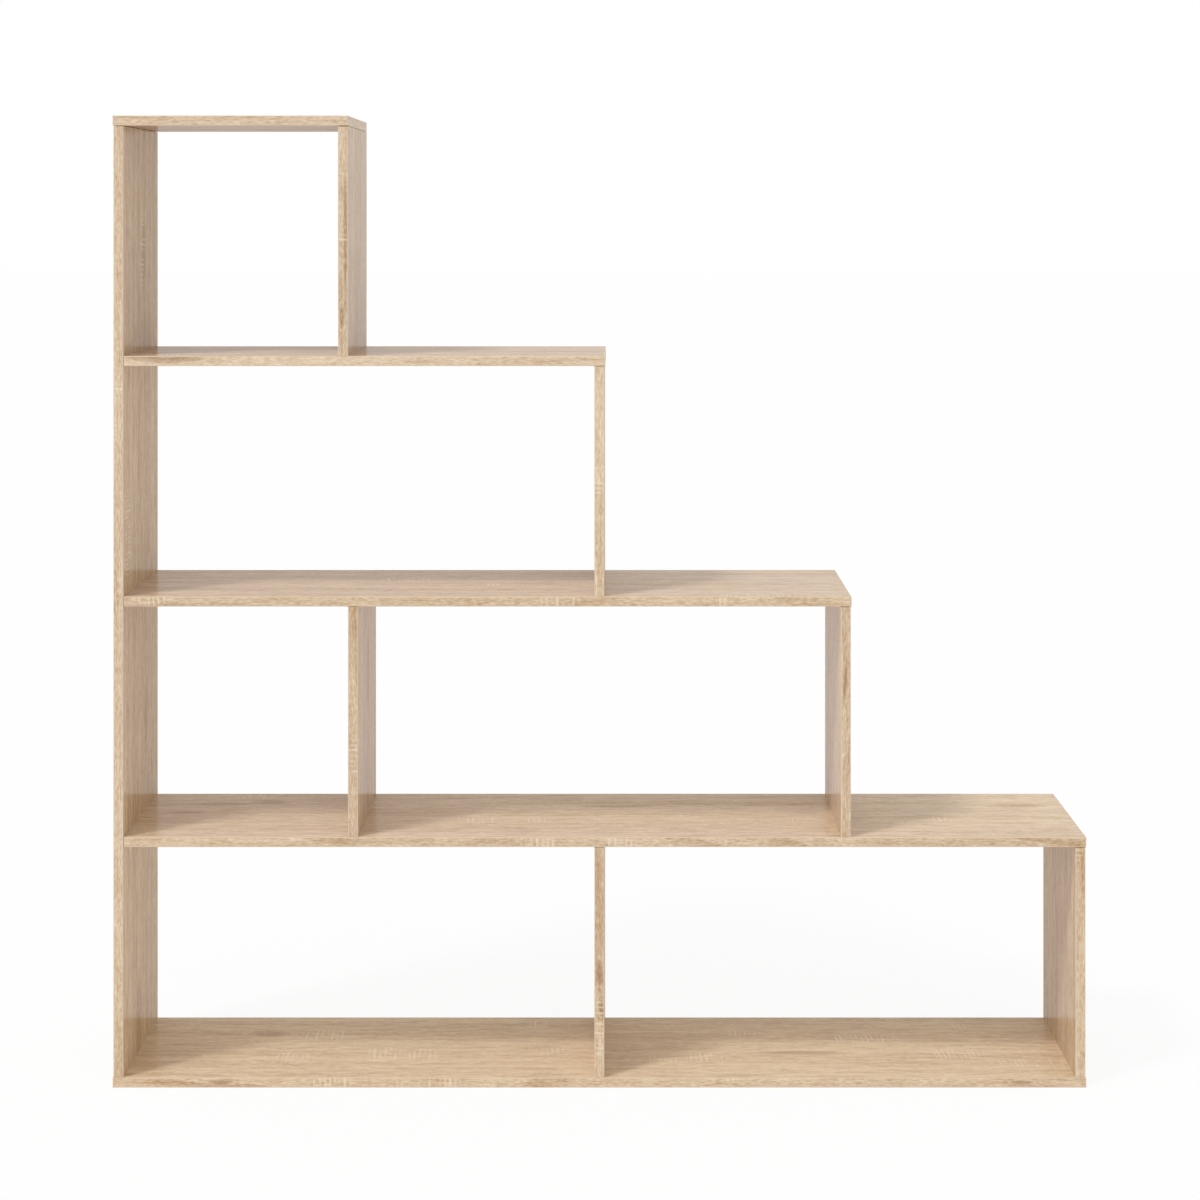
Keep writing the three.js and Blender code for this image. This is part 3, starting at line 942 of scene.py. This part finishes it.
for name in board_names:
    sides = banded_edges(name)
    for axis, way in sides:
        low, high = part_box(name)
        if way > 0:
            low[axis] = high[axis] - band_thickness
        else:
            high[axis] = low[axis] + band_thickness
        eased = []
        if thin_axis(name) == 0:
            high.z -= wider_seams.get(name, usual_seam)
            eased = [1]
        elif axis == 1:
            high.x -= band_thickness
            low.x += band_thickness if (0, -1) in sides else usual_seam
            eased = [] if (0, -1) in sides else [-1]
        title = f"{name}_{side_words[axis, way]}_band"
        mesh, length_axis = rounded_strip(title, low, high, axis, way, eased)
        lay_film(mesh, name, length_axis, 3 - length_axis - axis, band=True)
        give_finish(mesh, band_strip, pale_plastic_and_painted_highlight)
        piece = add_piece(title, mesh, "edge_band")
        # In the shading, the strip's large faces stay flat up to the rounding.
        flat_faces = piece.modifiers.new("flat_faces", "WEIGHTED_NORMAL")
        flat_faces.keep_sharp = True

# %% [markdown]
# ## The metals and the beech
#
# The screws and bolts are plated steel and the cams are cast zinc. Both are bare metal, so their
# look is mostly what they mirror, broken up by fine scratches. Both use one group for these: long
# thin noise, turned two ways. A dowel is turned from beech, a plain wood with short dark flecks.

# %% Scratch the metals
fine_scratches, given, result = start_group(
    "fine_scratches",
    {"Place": (0.0, 0.0, 0.0), "Density": 900.0},
    {"Scratches": "Float", "Stain": "Float"},
)
tree = fine_scratches
total = None
for turn in (0.4, 1.9):
    swung = add(tree, "VectorRotate", {"Vector": given["Place"], "Angle": turn}).outputs[0]
    drawn = vectors(tree, "MULTIPLY", swung, (1.0, 0.06, 0.3))
    line = between(tree, cloud(tree, drawn, given["Density"], 1.0), 0.6, 0.68)
    total = line if total is None else maths(tree, "MAXIMUM", total, line)
feed(tree, result, {"Scratches": total, "Stain": cloud(tree, given["Place"], 260.0, 4.0)})
print("fine_scratches:", len(tree.nodes), "nodes")


# %% Make the metals
def metal_material(name, bright, dull, roughness, relief):
    material, tree, shader = new_material(name)
    shader.inputs["Metallic"].default_value = 1.0
    place = add(tree, "TexCoord").outputs["Object"]
    worn = use_group(tree, fine_scratches, {"Place": place})
    tint = mix_colours(tree, between(tree, worn["Stain"], 0.35, 0.7), bright, dull)
    tint = mix_colours(tree, times(tree, worn["Scratches"], 0.5), tint, bright)
    rough = times_plus(tree, worn["Stain"], 0.24, roughness)
    rough = times_plus(tree, worn["Scratches"], -0.1, rough)
    height = times_plus(tree, worn["Scratches"], -0.5, worn["Stain"])
    dress(tree, shader, tint, rough, height, relief)
    return material


plated_steel = metal_material("plated_steel", paint(214, 213, 208), paint(186, 185, 178), 0.2, 0.02 * MM)
cast_zinc = metal_material("cast_zinc", paint(196, 197, 198), paint(158, 160, 163), 0.32, 0.05 * MM)

beech, tree, shader = new_material("turned_beech")
place = add(tree, "TexCoord").outputs["Object"]
drawn = vectors(tree, "MULTIPLY", place, (1.0, 1.0, 0.08))
flecks = between(tree, cloud(tree, drawn, 2600.0), 0.62, 0.72)
tint = mix_colours(tree, cloud(tree, drawn, 700.0, 3.0), paint(226, 190, 148), paint(200, 158, 116))
tint = mix_colours(tree, times(tree, flecks, 0.5), tint, paint(160, 112, 76))
dress(tree, shader, tint, times_plus(tree, flecks, 0.1, 0.6))
print("Fitting materials:", plated_steel.name, cast_zinc.name, beech.name)

# %% [markdown]
# ## The screws
#
# Connecting screws hold each upright's foot and each shelf's left end. Such a screw has a
# countersunk head with a hexagon socket, a plain shoulder in the first board, and a deep coarse
# thread that bites into the chipboard of the second. Its skin is a grid: rings along the axis, and
# in each ring the radius rises where the thread passes. So one turned shape gives head, socket,
# shoulder and thread as one closed piece.

# %% Draw a socket and a thread
socket_reach = 2.3 * MM
socket_depth = 2.6 * MM
shoulder_setback = 2.0 * MM
thread_crest = 3.4 * MM
thread_pitch = 3.0 * MM
thread_step = 0.5 * MM
thread_start = 1.5 * MM  # past the shoulder's end
thread_half_share = 0.3  # of the pitch
tip_length = 4.0 * MM
tip_radius = 1.0 * MM
rim_bevel = 0.3 * MM
fitting_sides = 24


def hexagon(angle):
    """The reach of a hexagon whose corners lie at socket_reach."""
    within = (angle % (math.pi / 3)) - math.pi / 6
    return socket_reach * math.cos(math.pi / 6) / math.cos(within)


def thread_at(height, pitch, root, crest, half_share):
    """The reach of a thread at one height, as a function of the angle."""
    def reach(angle):
        turn = (height / pitch - angle / (2 * math.pi)) % 1.0
        return root + (crest - root) * max(0.0, 1.0 - abs(turn - 0.5) / half_share)
    return reach


print("The socket is", round(2 * hexagon(math.pi / 6) / MM, 1), "mm across its flats")

# %% Turn a screw
shoulder_end = board_thickness - shoulder_setback
profile = [
    (hexagon, socket_depth),
    (hexagon, 0),
    (screw_head_radius - rim_bevel, 0),
    (screw_head_radius, rim_bevel),
    (screw_shoulder_radius, screw_head_height),
    (screw_shoulder_radius, shoulder_end),
    (screw_core_radius, shoulder_end + thread_start - thread_step),
]
height = shoulder_end + thread_start
while height < screw_length:
    taper = min(1.0, (screw_length - height) / tip_length)
    core = tip_radius + (screw_core_radius - tip_radius) * taper
    crest = thread_crest * core / screw_core_radius
    profile.append((thread_at(height, thread_pitch, core, crest, thread_half_share), height))
    height += thread_step
profile.append((0, screw_length))

fine_screw = turned("fine_screw", profile, fitting_sides)
give_finish(fine_screw, plated_steel)
print("A screw has", len(fine_screw.polygons), "faces")

# %% [markdown]
# ## The cam fittings
#
# Two cam-and-bolt fittings draw each upright that ends a tier up against the board above. A bolt is
# screwed into the underside of that board. Its head reaches down a bore into the cam, a zinc drum
# in a pocket of the upright. A half turn with a screwdriver wedges the head and pulls the joint
# tight. Only the drum's face shows, but the way in and the chamber are what make it work, so they
# are cut out of it.

# %% Turn a bolt
bolt_thread_radius = 3.0 * MM
bolt_thread_root = 2.2 * MM
bolt_thread_pitch = 1.8 * MM
bolt_thread_half_share = 0.35  # of the pitch
bolt_thread_reach = 11.0 * MM
bolt_collar_radius = 3.7 * MM
bolt_collar_height = 1.2 * MM
bolt_shaft_radius = 2.9 * MM
bolt_neck_radius = 2.1 * MM
bolt_head_radius = 3.3 * MM
bolt_neck_length = 5.0 * MM
bolt_head_steps = 6
bolt_head_angle = math.radians(140)  # from the tip of the ball to its neck

bolt_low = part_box("cam_bolt_left_side_front")[0].z - left_high.z
profile = [(0, bolt_low)]
for step in range(1, bolt_head_steps + 1):
    turn = step / bolt_head_steps * bolt_head_angle
    rise = bolt_head_radius * (1 - math.cos(turn))
    profile.append((bolt_head_radius * math.sin(turn), bolt_low + rise))
neck_start = profile[-1][1]
profile += [
    (bolt_neck_radius, neck_start + rim_bevel),
    (bolt_neck_radius, neck_start + bolt_neck_length),
    (bolt_shaft_radius, neck_start + bolt_neck_length + rim_bevel),
    (bolt_shaft_radius, -bolt_collar_height),
    (bolt_collar_radius, -bolt_collar_height),
    (bolt_collar_radius, -clearance),
    (bolt_thread_root, -clearance),
]
bolt_thread = (bolt_thread_pitch, bolt_thread_root, bolt_thread_radius, bolt_thread_half_share)
height = 0.0
while height < bolt_thread_reach - tip_radius:
    profile.append((thread_at(height, *bolt_thread), height))
    height += thread_step / 2
profile.append((tip_radius, bolt_thread_reach))
fine_bolt = turned("fine_bolt", profile, fitting_sides)
give_finish(fine_bolt, plated_steel)
print("A bolt reaches from", round(bolt_low / MM, 1), "to", bolt_thread_reach / MM, "mm")

# %% Turn the drum and what is cut out of it
cam_sink = 0.3 * MM
cam_rim = 0.4 * MM
cam_wall = 1.4 * MM
recess_reach = 4.2 * MM
recess_width = 1.3 * MM
recess_depth = 2.4 * MM
arrow_reach = 1.6 * MM
arrow_depth = 0.8 * MM
arrow_sides = 3
arrow_inset_share = 1.1  # of the arrow's reach, from the rim
chamber_narrow_share = 0.8
board_middle = -board_thickness / 2

drum = turned("drum", [
    (cam_radius - cam_rim, -cam_depth),
    (cam_radius, -cam_depth + cam_rim),
    (cam_radius, -cam_sink - cam_rim),
    (cam_radius - cam_rim, -cam_sink),
], cam_sides)
bar_low = (-recess_reach, -recess_width / 2, -cam_sink - recess_depth)
bar_high = (recess_reach, recess_width / 2, past_face)
bar = mesh_from(box_shape(bar_low, bar_high), "bar")
way_in = plug("way_in", bolt_head_radius + clearance, 0, cam_radius * 2, hole_sides)


def spiral(angle):
    """The chamber's wall comes nearer as the cam turns, which is what wedges the bolt's head."""
    widening = (1 - chamber_narrow_share) * angle / (2 * math.pi)
    return (cam_radius - cam_wall) * (chamber_narrow_share + widening)


chamber_half = bolt_neck_radius + clearance
chamber = plug("chamber", spiral, board_middle - chamber_half, board_middle + chamber_half, cam_sides)
arrow_profile = [(arrow_reach / 2, -cam_sink - arrow_depth), (arrow_reach, past_face)]
arrow = turned("arrow", arrow_profile, arrow_sides)
print("The chamber is", round(2 * chamber_half / MM, 1), "mm high")

# %% Cast a cam
# With a cam's face towards the viewer, the bolt comes in from the cam's own -X.
half_turn = Matrix.Rotation(math.pi, 4, "Z")
arrow_place = Vector((arrow_inset_share * arrow_reach - cam_radius, 0, 0))
fine_cam = cut_away(drum, [
    (bar, Matrix.Identity(4)),
    (bar, Matrix.Rotation(math.pi / 2, 4, "Z")),
    (chamber, Matrix.Identity(4)),
    (way_in, Matrix.Translation((0, 0, board_middle)) @ Matrix.Rotation(-math.pi / 2, 4, "Y")),
    (arrow, Matrix.Translation(arrow_place) @ half_turn),
])
fine_cam.name = "fine_cam"
give_finish(fine_cam, cast_zinc)
print("A cam has", len(fine_cam.polygons), "faces")

# %% [markdown]
# ## The dowels
#
# The two dividers only need to be kept in line with the board above, so they have beech dowels and
# no cams. A dowel's flutes let glue and air out of the hole. They are drawn as a wavy radius.

# %% Turn a dowel
dowel_chamfer = 1.0 * MM
flute_count = 20
flute_depth = 0.3 * MM


def fluted(angle):
    return dowel_radius - flute_depth * (0.5 - 0.5 * math.cos(flute_count * angle))


fine_dowel = turned("fine_dowel", [
    (dowel_radius - dowel_chamfer, 0),
    (fluted, dowel_chamfer),
    (fluted, dowel_length - dowel_chamfer),
    (dowel_radius - dowel_chamfer, dowel_length),
], flute_count * 4)
give_finish(fine_dowel, beech, angle=50)
print("A dowel has", len(fine_dowel.polygons), "faces")

# %% Fit them all
fine_fittings = {
    "screw": (fine_screw, "steel_screw"),
    "bolt": (fine_bolt, "steel_screw"),
    "cam": (fine_cam, "zinc_cam"),
    "dowel": (fine_dowel, "beech_dowel"),
}

for name in fitting_names:
    family = family_of(name)
    seat = seat_of(name)
    if family == "cam" and seat.to_3x3() @ Vector((-1, 0, 0)) @ Vector((0, 0, 1)) < 0:
        seat = seat @ half_turn
    piece = add_piece("fine_" + name, *fine_fittings[family], seat)
    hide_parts(name)

# %% [markdown]
# ## The cover caps
#
# Six screw heads would show on the outer face of the left side. A flat-pack set has a thin plastic
# cap for each, in the colour of the boards, that is pressed into the hexagon socket. Its low dome
# and rounded rim catch the light.

# %% Press on the caps
cap_radius = 6.0 * MM
cap_height = 0.9 * MM
cap_peg_radius = 1.8 * MM
cap_peg_length = 1.6 * MM
cap_dome_shares = [(1.0, 0.0), (1.0, 0.35), (0.95, 0.65), (0.8, 0.85), (0.4, 1.0)]
cap_sides = 40

cap_mesh = turned("cover_cap", [
    (cap_peg_radius, cap_peg_length),
    (cap_peg_radius, 0.0),
    *((cap_radius * out, -cap_height * up) for out, up in cap_dome_shares),
], cap_sides)
give_finish(cap_mesh, pale_plastic_and_painted_highlight, angle=40)
for name in fitting_names:
    if family_of(name) != "screw" or "_end_" not in name:
        continue
    seat = seat_of(name)
    seat.translation.x = left_low.x
    add_piece("cap_" + name, cap_mesh, "edge_band", seat)
